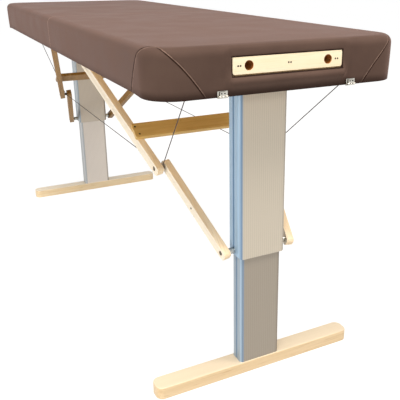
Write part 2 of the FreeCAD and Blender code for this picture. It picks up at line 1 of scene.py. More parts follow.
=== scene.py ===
import bpy
import json
import math
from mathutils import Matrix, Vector

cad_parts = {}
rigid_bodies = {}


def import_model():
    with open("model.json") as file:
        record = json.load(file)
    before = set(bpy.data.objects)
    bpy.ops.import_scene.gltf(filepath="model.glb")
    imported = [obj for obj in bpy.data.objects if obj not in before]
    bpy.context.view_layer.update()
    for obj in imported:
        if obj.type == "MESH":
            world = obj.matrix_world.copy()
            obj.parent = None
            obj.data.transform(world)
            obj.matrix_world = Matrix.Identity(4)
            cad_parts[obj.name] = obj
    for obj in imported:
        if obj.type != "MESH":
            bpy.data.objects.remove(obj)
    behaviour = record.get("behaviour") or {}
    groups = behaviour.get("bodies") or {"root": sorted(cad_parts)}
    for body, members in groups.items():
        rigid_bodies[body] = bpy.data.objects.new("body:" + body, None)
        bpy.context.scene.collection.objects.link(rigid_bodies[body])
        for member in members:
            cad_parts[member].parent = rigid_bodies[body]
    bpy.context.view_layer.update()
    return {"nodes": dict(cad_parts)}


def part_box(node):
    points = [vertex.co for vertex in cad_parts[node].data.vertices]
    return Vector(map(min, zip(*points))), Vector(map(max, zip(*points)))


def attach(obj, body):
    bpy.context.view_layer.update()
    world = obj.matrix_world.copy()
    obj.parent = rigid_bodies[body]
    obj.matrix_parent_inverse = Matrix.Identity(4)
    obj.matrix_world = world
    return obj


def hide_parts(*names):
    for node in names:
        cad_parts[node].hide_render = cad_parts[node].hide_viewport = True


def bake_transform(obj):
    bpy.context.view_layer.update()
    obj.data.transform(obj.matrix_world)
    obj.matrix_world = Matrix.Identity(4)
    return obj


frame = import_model()
scene = bpy.context.scene
nodes_of_frame = frame["nodes"]
HALVES = (("near", -1), ("far", 1))
HANDS = (("left", -1), ("right", 1))

# Sizes from the part, in metres
TOP_Z = 0.913
FRAME_Z = 0.810
HALF_W = 0.325
HALF_L = 0.975
CORNER_R = 0.075
SIDE_PULL = 0.0025
COLUMN_Y = 0.834
OUTER_HALF_W = 0.068
INNER_HALF_W = 0.060
TUBE_ROUND = 0.012
GROOVE_DEEP = 0.0012
GROOVE_W = 0.008
KNEE = (0.165, 0.590144, 0.538519)
ANCHOR = (0.224, 0.9545, 0.851)
LINK_DIR = (0.817869, 0.575270)
UPPER_TOP_X = 0.282
UPPER_KNEE_X = 0.180
UPPER_LENGTH = 0.501437
LOWER_FOOT = (0.097, 0.834, 0.367)
LOWER_TOP_X = 0.150
LOWER_LENGTH = 0.298135
LINK_HALF_T = 0.010
SOCKET_X = 0.102
SOCKET_Z = 0.867
SOCKET_R = 0.0105
# Half the covers' opening for the headrest plate, with the air round it
PLATE_HALF = (0.1413, 0.01855)

# The covers as they look, in metres: round edge, crown, hem and skin
EDGE_R = 0.022
CROWN = 0.001
CROWN_REACH = 0.06
HEM = 0.0025
END_SAG = 0.004
SAG_FROM_Y = 0.84
SAG_OVER = 0.1
# How high the painted shade along the hem reaches, and its tone
HEM_SHADE = 0.016
HEM_SHADE_TONE = "241a17"
SKIN = 0.0025
# The fold: half its gap, a small round, and the width of the painted highlight beside it
FOLD_GAP = 0.0002
FOLD_ROUND = 0.003
FOLD_DROP = 0.0006
FOLD_DEEP = 0.06
FOLD_EDGE = 0.003
# Round the headrest plate: a tuck and a dip, a swell above and a roll below
END_ZONE = 0.03
TOP_ZONE = 0.003
TUCK = 0.003
TUCK_DEEP = 0.002
DIP = 0.0008
DIP_REACH = 0.016
SWELL = 0.004
SWELL_AWAY = 0.025
SWELL_REACH = 0.009
SWELL_ENDS = 0.060
ROLL = 0.011
ROLL_RISE = 0.014
ROLL_FALL = 0.024
ROLL_ENDS = 0.020
# The corner seam's arch, measured over the cover from its bottom edge and from the middle of the corner
SEAM_PEAK = 0.116
SEAM_MID = -0.015
# Width and power of the curve, for the arch's half on the table's side and for the one on its end
SEAM_ON_SIDE = (0.097, 1.6)
SEAM_ON_END = (0.123, 1.35)
SEAM_TOP = 0.012
SEAM_ZONE_X = 0.1
SEAM_ZONE_Y = 0.76
# Widths of the painted shade beside the seam, on the table's side and on its end
SIDE_SHADE = 0.006
END_SHADE = 0.004
SEAM_HALF = 0.0010
SEAM_DEEP = 0.0009
# Steps of the covers' mesh, and how near a point counts as lying on a face
FINE_ZONE = 0.034
FINE_STEP = 0.0045
WIDE_STEP = 0.0125
LEAST_STEP = 0.002
CORNER_STEPS = 18
PLATE_CUTS = (0.0, TUCK, 0.008, 0.019)
MERGE = 0.0007
ON_FACE = 0.0004
BY_FACE = 0.001
HAIR = 0.0001
# Slots of the covers' materials: the seams' painted highlight and the painted shade
HIGHLIGHT_SLOT = 1
SHADE_SLOT = 2


# Small helpers for materials

def linear(hex_code):
    # A written colour as the linear values that Blender takes
    out = []
    for i in (0, 2, 4):
        c = int(hex_code[i:i + 2], 16) / 255
        out.append(c / 12.92 if c <= 0.04045 else ((c + 0.055) / 1.055) ** 2.4)
    return (out[0], out[1], out[2], 1.0)


def add(tree, kind, values=None, links=None, **settings):
    n = tree.nodes.new(kind)
    for key, value in settings.items():
        setattr(n, key, value)
    for key, value in (values or {}).items():
        n.inputs[key].default_value = value
    for key, source in (links or {}).items():
        tree.links.new(source, n.inputs[key])
    return n


def put(tree, n, key, term):
    # A term is a written colour, a number or the output of another node
    if isinstance(term, str):
        n.inputs[key].default_value = linear(term)
    elif isinstance(term, (int, float)):
        n.inputs[key].default_value = term
    else:
        tree.links.new(term, n.inputs[key])


def calc(tree, operation, *terms):
    n = add(tree, "ShaderNodeMath", operation=operation)
    for i, term in enumerate(terms):
        put(tree, n, i, term)
    return n.outputs[0]


def mixed(tree, share, first, second):
    n = add(tree, "ShaderNodeMix", data_type="RGBA")
    for key, term in (("Factor", share), ("A", first), ("B", second)):
        put(tree, n, key, term)
    return n.outputs["Result"]


def ranged(tree, value, low, high, to_low=0.0, to_high=1.0, kind="LINEAR"):
    n = add(tree, "ShaderNodeMapRange",
            {"From Min": low, "From Max": high, "To Min": to_low, "To Max": to_high},
            {"Value": value}, interpolation_type=kind)
    return n.outputs["Result"]


def noise(tree, place, scale, detail, roughness=0.5, distortion=0.0):
    n = add(tree, "ShaderNodeTexNoise",
            {"Scale": scale, "Detail": detail, "Roughness": roughness, "Distortion": distortion},
            {"Vector": place})
    return n.outputs["Fac"]


def mapped(tree, place, **values):
    n = add(tree, "ShaderNodeMapping", values, {"Vector": place})
    return n.outputs["Vector"]


def parted(tree, vector):
    return add(tree, "ShaderNodeSeparateXYZ", links={0: vector}).outputs


def relief(tree, shader, height, strength, depth):
    bump = add(tree, "ShaderNodeBump", {"Strength": strength, "Distance": depth}, {"Height": height})
    tree.links.new(bump.outputs["Normal"], shader.inputs["Normal"])


def two_tones(tree, factor, dark, light, low=0.3, high=0.7):
    ramp = add(tree, "ShaderNodeValToRGB", links={"Fac": factor})
    ramp.color_ramp.elements[0].position = low
    ramp.color_ramp.elements[0].color = linear(dark)
    ramp.color_ramp.elements[1].position = high
    ramp.color_ramp.elements[1].color = linear(light)
    return ramp.outputs["Color"]


def start_material(name, roughness, metallic=0.0, ior=1.45):
    mat = bpy.data.materials.new(name)
    mat.use_nodes = True
    tree = mat.node_tree
    shader = tree.nodes["Principled BSDF"]
    shader.inputs["Roughness"].default_value = roughness
    shader.inputs["Metallic"].default_value = metallic
    shader.inputs["IOR"].default_value = ior
    coords = add(tree, "ShaderNodeTexCoord")
    return mat, tree, shader, coords.outputs["Object"]


# Upholstery vinyl: PVC on a knit back, embossed with a fine leather grain, matt with a soft sheen
def vinyl(name, dark, light):
    mat, tree, shader, place = start_material(name, 0.5, ior=1.5)
    for key, value in (("Specular IOR Level", 0.04), ("Specular Tint", "e2c6bb"), ("Sheen Weight", 0.36),
                       ("Sheen Roughness", 0.4), ("Sheen Tint", "b9897a")):
        put(tree, shader, key, value)
    blotch = noise(tree, place, 9.0, 3.0, 0.55)
    body = two_tones(tree, blotch, dark, light, 0.25, 0.75)
    # Painted shade: the cover is painted darker towards its hem, where it turns under
    painted_hem_shade = ranged(tree, parted(tree, place)["Z"], FRAME_Z - HEM - END_SAG, FRAME_Z + HEM_SHADE, 0.8, 0.0,
                 "SMOOTHSTEP")
    put(tree, shader, "Base Color", mixed(tree, painted_hem_shade, body, HEM_SHADE_TONE))
    # Grain cells are about 1 mm on the real cloth, drawn at 2.2 mm so that they show
    grain = add(tree, "ShaderNodeTexVoronoi", {"Scale": 450.0}, {"Vector": place},
                feature="DISTANCE_TO_EDGE")
    fine = noise(tree, place, 900.0, 2.0)
    relief(tree, shader, calc(tree, "MULTIPLY_ADD", fine, 0.35, grain.outputs["Distance"]), 0.16, 0.0004)
    put(tree, shader, "Roughness", ranged(tree, blotch, 0.3, 0.7, 0.40, 0.50))
    return mat


# Light beech, planed and clear lacquered: pale straight grain with short darker flecks along the piece
def beech(name, dark, light, turn, scale, flecks, lit_axis="", lit_tone=""):
    mat, tree, shader, place = start_material(name, 0.42, ior=1.5)
    turned = mapped(tree, place, Rotation=turn)
    bands = noise(tree, mapped(tree, turned, Scale=scale), 1.0, 5.0, 0.6, 0.4)
    body = two_tones(tree, bands, dark, light, 0.32, 0.68)
    fleck = noise(tree, mapped(tree, turned, Scale=tuple(5.5 * s for s in scale)), 1.0, 2.0)
    colour = mixed(tree, ranged(tree, fleck, 0.58, 0.72, 0.0, flecks), body, "b58a52")
    if lit_tone:
        # Painted light: faces that look along the given axis are painted paler, as if more brightly lit
        normal = add(tree, "ShaderNodeNewGeometry").outputs["Normal"]
        lit_share = calc(tree, "ABSOLUTE", parted(tree, normal)[lit_axis])
        colour = mixed(tree, ranged(tree, lit_share, 0.5, 0.85, 0.0, 0.8), colour, lit_tone)
    put(tree, shader, "Base Color", colour)
    relief(tree, shader, fleck, 0.08, 0.0003)
    return mat


# Satin anodised aluminium: a drawn extrusion with upright die lines and shallow flutes on its wide faces;
# the narrow faces carry a painted blue reflection at -X and a darker painted shade at +X
def anodised(name, half_width, wide, window_reflection, reflection_tone, shade_tone):
    mat, tree, shader, place = start_material(name, 0.36, 0.25)
    lines = noise(tree, mapped(tree, place, Scale=(420.0, 420.0, 1.2)), 1.0, 2.0)
    spot = parted(tree, place)
    # From 0 on the wide face round the corner to 1 on the narrow face
    out = calc(tree, "ABSOLUTE", spot["X"])
    side = ranged(tree, out, half_width - TUBE_ROUND, half_width - GROOVE_DEEP, kind="SMOOTHSTEP")
    at_minus_x = calc(tree, "LESS_THAN", spot["X"], 0.0)
    # Painted: the narrow faces at -X take the blue reflection tone, those at +X the shade tone
    plain = mixed(tree, side, wide, mixed(tree, at_minus_x, shade_tone, window_reflection))
    # The painted blue reflection is deepest half way round the corner and in the groove along the narrow
    # face, at -X
    half_way = calc(tree, "MULTIPLY", side, calc(tree, "SUBTRACT", 1.0, side))
    corner = calc(tree, "MULTIPLY", half_way, at_minus_x)
    along = calc(tree, "ABSOLUTE", spot["Y"])
    middle = calc(tree, "COMPARE", along, COLUMN_Y, GROOVE_W / 2)
    groove = calc(tree, "MULTIPLY", calc(tree, "MULTIPLY", middle, at_minus_x), side)
    painted_reflection = calc(tree, "MAXIMUM", corner, calc(tree, "MULTIPLY", groove, 0.25))
    body = mixed(tree, ranged(tree, painted_reflection, 0.0, 0.25, 0.0, 0.9), plain, reflection_tone)
    # The flutes are 6 mm apart, with a narrow shadow in each
    wave = add(tree, "ShaderNodeTexWave", {"Scale": 52.4}, {"Vector": place}, wave_type="BANDS",
               bands_direction="X", wave_profile="SIN")
    flutes = wave.outputs["Fac"]
    put(tree, shader, "Base Color", mixed(tree, ranged(tree, flutes, 0.16, 0.0, 0.0, 0.3), body, shade_tone))
    relief(tree, shader, calc(tree, "MULTIPLY_ADD", lines, 0.4, flutes), 0.2, 0.0004)
    put(tree, shader, "Roughness", ranged(tree, lines, 0.0, 1.0, 0.30, 0.42))
    return mat


# Plain finishes with a fine mottle: plated or oxidised steel, moulded plastic, cut foam
def mottled(name, dark, light, roughness, metallic, grain_mm, depth):
    mat, tree, shader, place = start_material(name, roughness, metallic)
    speck = noise(tree, place, 1000.0 / grain_mm, 3.0)
    put(tree, shader, "Base Color", two_tones(tree, speck, dark, light))
    relief(tree, shader, speck, 0.2, depth)
    rough = ranged(tree, speck, 0.0, 1.0, roughness * 0.8, min(roughness * 1.2, 1.0))
    put(tree, shader, "Roughness", rough)
    return mat


# The walls of the two sockets are stained dark through the plate
STAIN_OVER = 0.0003


def stain_sockets(mat, stain):
    tree = mat.node_tree
    shader = tree.nodes["Principled BSDF"]
    wood = shader.inputs["Base Color"].links[0].from_socket
    spot = parted(tree, add(tree, "ShaderNodeTexCoord").outputs["Object"])
    out = calc(tree, "ABSOLUTE", spot["X"])
    flat = add(tree, "ShaderNodeCombineXYZ", links={"X": out, "Z": spot["Z"]})
    away = add(tree, "ShaderNodeVectorMath", {1: (SOCKET_X, 0.0, SOCKET_Z)}, {0: flat.outputs[0]},
               operation="DISTANCE")
    inside = calc(tree, "LESS_THAN", away.outputs["Value"], SOCKET_R + STAIN_OVER)
    put(tree, shader, "Base Color", mixed(tree, inside, wood, stain))


ALONG_X = (3.0, 70.0, 70.0)
ALONG_Y = (70.0, 3.0, 70.0)
LEVEL = (0, 0, 0)
SLOPE = math.atan2(LINK_DIR[1], LINK_DIR[0])
vinyl_brown = vinyl("mocha_vinyl", "50403a", "5a4942")
# Seam tone: a painted highlight on the seams and on the strip beside the fold
vinyl_seam_highlight = vinyl("mocha_vinyl_seam_highlight", "7e695f", "8d776c")
# Dark tone: painted shade beside the seams and round the plate's opening
vinyl_painted_shade = vinyl("mocha_vinyl_painted_shade", "211613", "2c1f1a")
# Painted light: the feet's tops and the near links' sides are painted paler
beech_foot = beech("beech_along_x", "dac096", "e6cfac", LEVEL, ALONG_X, 0.35, "Z", "e6dac4")
# Painted light: the far foot is the same beech painted lighter
beech_far_foot_painted_light = beech("beech_far_foot_painted_light", "f6dcb0", "fdeccb", LEVEL, ALONG_X, 0.35, "Z", "fff6e4")
beech_near = beech("beech_near_links", "fae0b8", "ffeed0", (-SLOPE, 0, 0), ALONG_Y, 0.3, "X", "fff8ea")
# Painted shade: the far links and far board are the same beech painted darker
beech_far_shaded = beech("beech_far_links_painted_shade", "946c36", "aa8245", (SLOPE, 0, 0), ALONG_Y, 0.4)
beech_board = beech("beech_board", "d0a85f", "dfbd78", LEVEL, ALONG_X, 0.4)
birch_plate = beech("birch_plate", "f3e1be", "f8ebd0", LEVEL, ALONG_X, 0.2)
stain_sockets(birch_plate, "a0622a")
socket_wood = beech("stained_socket_block", "bd8444", "cc9656", LEVEL, ALONG_X, 0.3)
frame_pine = beech("frame_pine", "cfab74", "dfc08c", LEVEL, ALONG_Y, 0.5)
frame_ply = beech("deck_plywood", "c9a56d", "d9ba86", LEVEL, ALONG_Y, 0.6)
# The tubes carry a painted blue reflection on their narrow faces at -X
tube_metal = anodised("anodised_aluminium", OUTER_HALF_W, "c6beb0", "9fbedb", "6488ad", "8f887b")
# The far tubes are painted lighter as painted light, and the near inner tube darker as painted shade
far_inner_metal_lit = anodised("anodised_far_inner_painted_light", INNER_HALF_W, "eae3dc", "cdd3d9", "a4afba", "9b9388")
far_outer_metal_lit = anodised("anodised_far_outer_painted_light", OUTER_HALF_W, "d2c9bc", "bfc9d2", "93a6b8", "8f887b")
inner_metal_shaded = anodised("anodised_inner_tube_painted_shade", INNER_HALF_W, "9d958a", "a5bcd2", "6c88a6", "776f64")
cast_metal = mottled("cast_aluminium", "8f8f8c", "a7a7a3", 0.45, 0.9, 1.5, 0.0003)
plated_steel = mottled("zinc_plated_steel", "a9a9a4", "c2c2bc", 0.3, 1.0, 2.0, 0.0001)
bolt_steel = mottled("bronzed_steel", "574c41", "706456", 0.42, 0.8, 1.5, 0.0001)
dark_steel = mottled("oxidised_steel", "231f1b", "3a332c", 0.42, 0.7, 1.5, 0.0001)
nickel = mottled("bright_nickel", "b9b6ad", "d6d3ca", 0.16, 1.0, 3.0, 0.0001)
wire_steel = mottled("coated_wire_rope", "230e08", "33170f", 0.5, 0.0, 0.8, 0.0002)
black_nylon = mottled("moulded_nylon", "1b1c1f", "292a2e", 0.5, 0.0, 0.8, 0.0001)
pale_foam = mottled("cut_foam", "d8cdb2", "ebe2cb", 0.95, 0.0, 1.5, 0.0006)

# Finish of each piece that both halves have
FINISHES = {
    "foam": pale_foam,
    "deck": frame_ply,
    "end_rail": frame_pine,
    "side_rails": frame_pine,
    "fold_rail": frame_pine,
    "fold_hinges": plated_steel,
    "outer_tube": tube_metal,
    "inner_tube": inner_metal_shaded,
    "column_spacers": plated_steel,
    "column_head": cast_metal,
    "guide_bush": black_nylon,
    "lift_motor": dark_steel,
    "lift_spindle": plated_steel,
    "spindle_nut": black_nylon,
    "foot_plug": cast_metal,
    "foot_beam": beech_foot,
    "leg_bracket": dark_steel,
    "leg_pin": plated_steel,
    "knee_bolts": bolt_steel,
    "column_bolts": bolt_steel,
    "link_pivots": bolt_steel,
    "brace_board": beech_board,
    "lower_links": beech_near,
    "upper_links": beech_near,
}
# Finish of single pieces, and of the far pieces that differ from the near ones: painted light on the far
# tubes and far foot, painted shade on the far links and far board
SINGLE_FINISHES = {
    "far_inner_tube": far_inner_metal_lit,
    "far_outer_tube": far_outer_metal_lit,
    "far_foot_beam": beech_far_foot_painted_light,
    "far_brace_board": beech_far_shaded,
    "far_lower_links": beech_far_shaded,
    "far_upper_links": beech_far_shaded,
    "headrest_plate": birch_plate,
    "headrest_block": socket_wood,
    "latch_bases": nickel,
    "latch_lever_left": nickel,
    "latch_lever_right": nickel,
    "latch_catches": nickel,
    "control_box": black_nylon,
}
finish_of = {half + "_" + name: mat for half, side in HALVES for name, mat in FINISHES.items()}
finish_of.update(SINGLE_FINISHES)
for name, mat in finish_of.items():
    nodes_of_frame[name].material_slots[0].material = mat


# Eased edges on the wooden pieces
def ease(node, width):
    piece = nodes_of_frame[node]
    weld = piece.modifiers.new("weld", "WELD")
    weld.merge_threshold = 0.00001
    bevel = piece.modifiers.new("ease", "BEVEL")
    bevel.width = width
    bevel.segments = 2
    bevel.limit_method = "ANGLE"
    bevel.angle_limit = math.radians(50)


for half, side in HALVES:
    for name in ("lower_links", "upper_links", "brace_board"):
        ease(half + "_" + name, 0.003)
ease("headrest_plate", 0.0006)


# Upholstered cover of one half of the table top

def mode(kind):
    bpy.ops.object.mode_set(mode=kind)


def select_in_mesh(action):
    bpy.ops.mesh.select_all(action=action)


def pick(obj, kind, test):
    # Selects edges by a test on their two ends, or faces by a test on their middle and normal
    mode("EDIT")
    bpy.ops.mesh.select_mode(type=kind)
    select_in_mesh("DESELECT")
    mode("OBJECT")
    verts = obj.data.vertices
    if kind == "EDGE":
        for e in obj.data.edges:
            e.select = test(verts[e.vertices[0]].co, verts[e.vertices[1]].co)
    else:
        for f in obj.data.polygons:
            f.select = test(f.center, f.normal)
    mode("EDIT")


def cut(axis, at):
    normal = [0.0, 0.0, 0.0]
    normal[axis] = 1.0
    point = [0.0, 0.0, 0.0]
    point[axis] = at
    select_in_mesh("SELECT")
    bpy.ops.mesh.bisect(plane_co=point, plane_no=normal)


def steps(low, high, fine_low):
    # Cut places between two edges: close together near an edge that bends, wide apart elsewhere
    out = []
    at = low
    while at < high:
        near_low = fine_low and at - low < FINE_ZONE
        near_high = high - at < FINE_ZONE
        at += FINE_STEP if near_low or near_high else WIDE_STEP
        if at < high - LEAST_STEP:
            out.append(at)
    return out


def clamped(t):
    return min(max(t, 0.0), 1.0)


def smooth(t):
    return t * t * (3 - 2 * t)


def edge_distance(x, y):
    # Distance inwards from the table's rounded outline, and the inward direction
    ax = abs(x) - (HALF_W - CORNER_R)
    ay = abs(y) - (HALF_L - CORNER_R)
    sx = -1.0 if x > 0 else 1.0
    sy = -1.0 if y > 0 else 1.0
    if ax > 0 and ay > 0:
        away = math.hypot(ax, ay)
        return CORNER_R - away, sx * ax / away, sy * ay / away
    if ax > ay:
        return CORNER_R - ax, sx, 0.0
    return CORNER_R - ay, 0.0, sy


def soften(co):
    # Sides drawn in at the bottom, a round top edge and a low crown
    deep, nx, ny = edge_distance(co.x, co.y)
    low = TOP_Z - EDGE_R
    drop = TOP_Z - co.z
    inset = deep
    z = co.z
    if deep < EDGE_R and drop < EDGE_R:
        # The square edge is bent to a quarter round, and what lies within it shrinks with it
        u = 1 - deep / EDGE_R
        v = 1 - drop / EDGE_R
        angle = math.pi / 4 * (v / u if u >= v else 2 - u / v)
        reach = EDGE_R * max(u, v)
        inset = EDGE_R - reach * math.cos(angle)
        z = low + reach * math.sin(angle) - CROWN * math.sin(angle) ** 2
    elif drop < ON_FACE:
        z -= CROWN * math.exp(-((deep - EDGE_R) / CROWN_REACH) ** 2)
    else:
        down = 1 - (co.z - FRAME_Z) / (low - FRAME_Z)
        at_end = clamped((abs(co.y) - SAG_FROM_Y) / SAG_OVER)
        inset = deep + SIDE_PULL * down ** 2
        z -= (HEM + END_SAG * smooth(at_end)) * down ** 2
    co.x += nx * (inset - deep)
    co.y += ny * (inset - deep)
    # Small round along the fold
    fold = abs(co.y) - FOLD_GAP
    if fold < FOLD_ROUND and z > TOP_Z - FOLD_DEEP:
        share = (z - (TOP_Z - FOLD_DEEP)) / FOLD_DEEP
        z -= share * FOLD_DROP * (1 - fold / FOLD_ROUND) ** 2
    co.z = z


def draw_in_round_plate(co):
    # The cover dips to the headrest plate, with a soft roll below it and a lower swell above
    if co.y > -HALF_L + END_ZONE or co.z > TOP_Z - TOP_ZONE:
        return
    past_x = max(abs(co.x) - PLATE_HALF[0], 0.0)
    past_z = max(abs(co.z - SOCKET_Z) - PLATE_HALF[1], 0.0)
    away = math.hypot(past_x, past_z)
    dip = 0.0
    if co.z < SOCKET_Z - PLATE_HALF[1]:
        # The roll comes out just under the plate and falls back slowly to the bottom edge
        ends = smooth(clamped(1 - past_x / ROLL_ENDS))
        if away < ROLL_RISE:
            swell = ROLL * ends * smooth(away / ROLL_RISE)
        else:
            swell = ROLL * ends * (1 - smooth(min((away - ROLL_RISE) / ROLL_FALL, 1.0)))
    else:
        dip = DIP * math.exp(-(away / DIP_REACH) ** 2)
        ends = smooth(clamped(1 - past_x / SWELL_ENDS))
        swell = SWELL * ends * math.exp(-((away - SWELL_AWAY) / SWELL_REACH) ** 2)
    # The last few millimetres are tucked in behind the face of the plate
    if away < TUCK:
        dip += TUCK_DEEP * (1 - away / TUCK)
    co.y += dip - swell


def round_the_corner(x, y):
    # Place along the outline from the middle of a corner: below zero on the side, above zero on the end
    ax = abs(x) - (HALF_W - CORNER_R)
    ay = abs(y) - (HALF_L - CORNER_R)
    if ax > 0 and ay > 0:
        return CORNER_R * (math.atan2(ay, ax) - math.pi / 4)
    if ax > ay:
        return ay - CORNER_R * math.pi / 4
    return CORNER_R * math.pi / 4 - ax


def up_the_cover(co):
    # Distance over the softened cover from its bottom edge, for a point of the cover before it is softened
    deep = edge_distance(co.x, co.y)[0]
    side_wall = TOP_Z - EDGE_R - FRAME_Z
    drop = TOP_Z - co.z
    if deep < ON_FACE:
        if drop > EDGE_R:
            return co.z - FRAME_Z
        return side_wall + (EDGE_R - drop) * math.pi / 4
    if deep < EDGE_R:
        return side_wall + (EDGE_R + deep) * math.pi / 4
    return side_wall + EDGE_R * math.pi / 2 + deep - EDGE_R


def off_seam_peak(co):
    return round_the_corner(co.x, co.y) - SEAM_MID


def seam_height(co):
    off = off_seam_peak(co)
    wide, power = SEAM_ON_END if off > 0 else SEAM_ON_SIDE
    return SEAM_PEAK * (1 - (abs(off) / wide) ** power)


def seam_stretch(co):
    # How much longer a step straight up is than one square to the seam
    off = off_seam_peak(co)
    wide, power = SEAM_ON_END if off > 0 else SEAM_ON_SIDE
    rise = SEAM_PEAK * power / wide * (abs(off) / wide) ** (power - 1)
    return math.hypot(1.0, rise)


def corner_points(obj, hand, side):
    return [v.co for v in obj.data.vertices
            if hand * v.co.x > SEAM_ZONE_X and side * v.co.y > SEAM_ZONE_Y]


def mark_corner_seam(obj, hand, side):
    # The corner is bent so that the seam's arch lies level, cut along that level, and bent back
    for co in corner_points(obj, hand, side):
        if co.z > FRAME_Z + HAIR or edge_distance(co.x, co.y)[0] < ON_FACE:
            co.z = (up_the_cover(co) - seam_height(co)) / seam_stretch(co)
    mode("EDIT")
    bpy.ops.mesh.select_mode(type="EDGE")
    cut(2, 0.0)
    bpy.ops.mesh.mark_seam(clear=False)
    cut(2, SIDE_SHADE)
    cut(2, -END_SHADE)
    mode("OBJECT")
    # Painted shade beside the seam on one side: outside the arch on the table's side, inside it on the end
    for f in obj.data.polygons:
        off = off_seam_peak(f.center)
        by_side = off < -SEAM_TOP and 0 < f.center.z < SIDE_SHADE
        by_end = off > SEAM_TOP and -END_SHADE < f.center.z < 0
        if by_side or by_end:
            f.material_index = SHADE_SLOT
    side_wall = TOP_Z - EDGE_R - FRAME_Z
    for co in corner_points(obj, hand, side):
        up = co.z * seam_stretch(co) + seam_height(co)
        if edge_distance(co.x, co.y)[0] > ON_FACE:
            co.z = TOP_Z
        elif up < side_wall:
            co.z = FRAME_Z + up
        else:
            co.z = TOP_Z - EDGE_R + (up - side_wall) * 4 / math.pi


def sew(obj):
    # The marked seams become narrow grooves, their faces painted paler as a painted highlight
    mode("EDIT")
    bpy.ops.mesh.select_mode(type="EDGE")
    select_in_mesh("SELECT")
    bpy.ops.mesh.remove_doubles(threshold=MERGE)
    select_in_mesh("DESELECT")
    mode("OBJECT")
    for e in obj.data.edges:
        e.select = e.use_seam
    mode("EDIT")
    bpy.ops.mesh.bevel(offset=SEAM_HALF, segments=2, affect="EDGES")
    obj.active_material_index = HIGHLIGHT_SLOT
    bpy.ops.object.material_slot_assign()
    bpy.ops.mesh.select_mode(type="VERT")
    bpy.ops.mesh.select_less()
    bpy.ops.transform.shrink_fatten(value=-SEAM_DEEP)
    mode("OBJECT")


def by_plate(middle, more):
    # Whether a face of the near end lies within the plate's opening, widened by so much
    by_side = abs(middle.x) < PLATE_HALF[0] + more
    by_height = abs(middle.z - SOCKET_Z) < PLATE_HALF[1] + more
    return middle.y < -HALF_L + BY_FACE and by_side and by_height


def block(half, side):
    # A square block with rounded corners, cut in steps, open below and with the plate's opening
    middle = (0, side * (FOLD_GAP + HALF_L) / 2, (FRAME_Z + TOP_Z) / 2)
    bpy.ops.object.select_all(action="DESELECT")
    bpy.ops.mesh.primitive_cube_add(size=1, location=middle)
    obj = bpy.context.object
    obj.name = half + "_vinyl_cover"
    obj.scale = (2 * HALF_W, HALF_L - FOLD_GAP, TOP_Z - FRAME_Z)
    bpy.ops.object.transform_apply(location=True, rotation=True, scale=True)
    pick(obj, "EDGE", lambda a, b: a.z != b.z and abs(a.y) > HALF_L / 2)
    bpy.ops.mesh.bevel(offset=CORNER_R, segments=CORNER_STEPS, affect="EDGES")
    # Stored and opened again, which settles the order of its points before the cuts
    mode("OBJECT")
    mode("EDIT")
    cut(1, side * (FOLD_GAP + FOLD_EDGE))
    for at in steps(-HALF_W, HALF_W, True):
        cut(0, at)
    for at in steps(FOLD_GAP + FOLD_EDGE, HALF_L, False):
        cut(1, side * at)
    for at in steps(FRAME_Z, TOP_Z, True):
        cut(2, at)
    if half == "near":
        for s in (-1, 1):
            for more in PLATE_CUTS:
                cut(0, s * (PLATE_HALF[0] + more))
            cut(2, SOCKET_Z + s * PLATE_HALF[1])
            cut(2, SOCKET_Z + s * (PLATE_HALF[1] + TUCK))
    mode("OBJECT")
    pick(obj, "FACE", lambda c, n: n.z < -0.9 and c.z < FRAME_Z + BY_FACE)
    bpy.ops.mesh.delete(type="FACE")
    if half == "near":
        pick(obj, "FACE", lambda c, n: by_plate(c, 0.0))
        bpy.ops.mesh.delete(type="FACE")
    mode("OBJECT")
    return obj


def make_cover(half, side):
    obj = block(half, side)
    for mat in (vinyl_brown, vinyl_seam_highlight, vinyl_painted_shade):
        obj.data.materials.append(mat)
    # Painted highlight on the strip beside the fold
    for f in obj.data.polygons:
        if FOLD_GAP + HAIR < abs(f.center.y) < FOLD_GAP + FOLD_EDGE:
            f.material_index = HIGHLIGHT_SLOT
        # Painted shade on the ring round the plate's opening
        elif half == "near" and by_plate(f.center, TUCK):
            f.material_index = SHADE_SLOT
    for hand in (-1, 1):
        mark_corner_seam(obj, hand, side)
    for v in obj.data.vertices:
        soften(v.co)
        if half == "near":
            draw_in_round_plate(v.co)
    obj.data.update()
    sew(obj)
    wall = obj.modifiers.new("skin", "SOLIDIFY")
    wall.thickness = SKIN
    wall.offset = -1.0
    bpy.ops.object.modifier_apply(modifier="skin")
    bpy.ops.object.shade_smooth_by_angle(angle=math.radians(50))
    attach(obj, half + "_pad")
    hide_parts(half + "_cover")


for half, side in HALVES:
    make_cover(half, side)


# Steel cables, pulled straight between the knees and the ends of the table

WIRE_D = 0.0024
WIRE_SPANS = 3
KNEE_CLEAR = 0.0085
ANCHOR_IN = 0.001
TURN_Y = 0.30


def wire(name, a, b):
    bpy.ops.object.select_all(action="DESELECT")
    bpy.ops.curve.primitive_nurbs_path_add()
    obj = bpy.context.object
    obj.name = name
    curve = obj.data
    curve.splines.clear()
    spline = curve.splines.new("NURBS")
    spline.points.add(WIRE_SPANS)
    start = Vector(a)
    end = Vector(b)
    for i, p in enumerate(spline.points):
        co = start.lerp(end, i / WIRE_SPANS)
        p.co = (co.x, co.y, co.z, 1.0)
    spline.order_u = 3
    spline.use_endpoint_u = True
    spline.resolution_u = 14
    curve.bevel_depth = WIRE_D / 2
    curve.bevel_resolution = 3
    curve.use_fill_caps = True
    obj.location = (0, 0, 0)
    bpy.ops.object.convert(target="MESH")
    obj = bpy.context.object
    obj.data.materials.clear()
    obj.data.materials.append(wire_steel)
    bpy.ops.object.shade_smooth()
    return obj


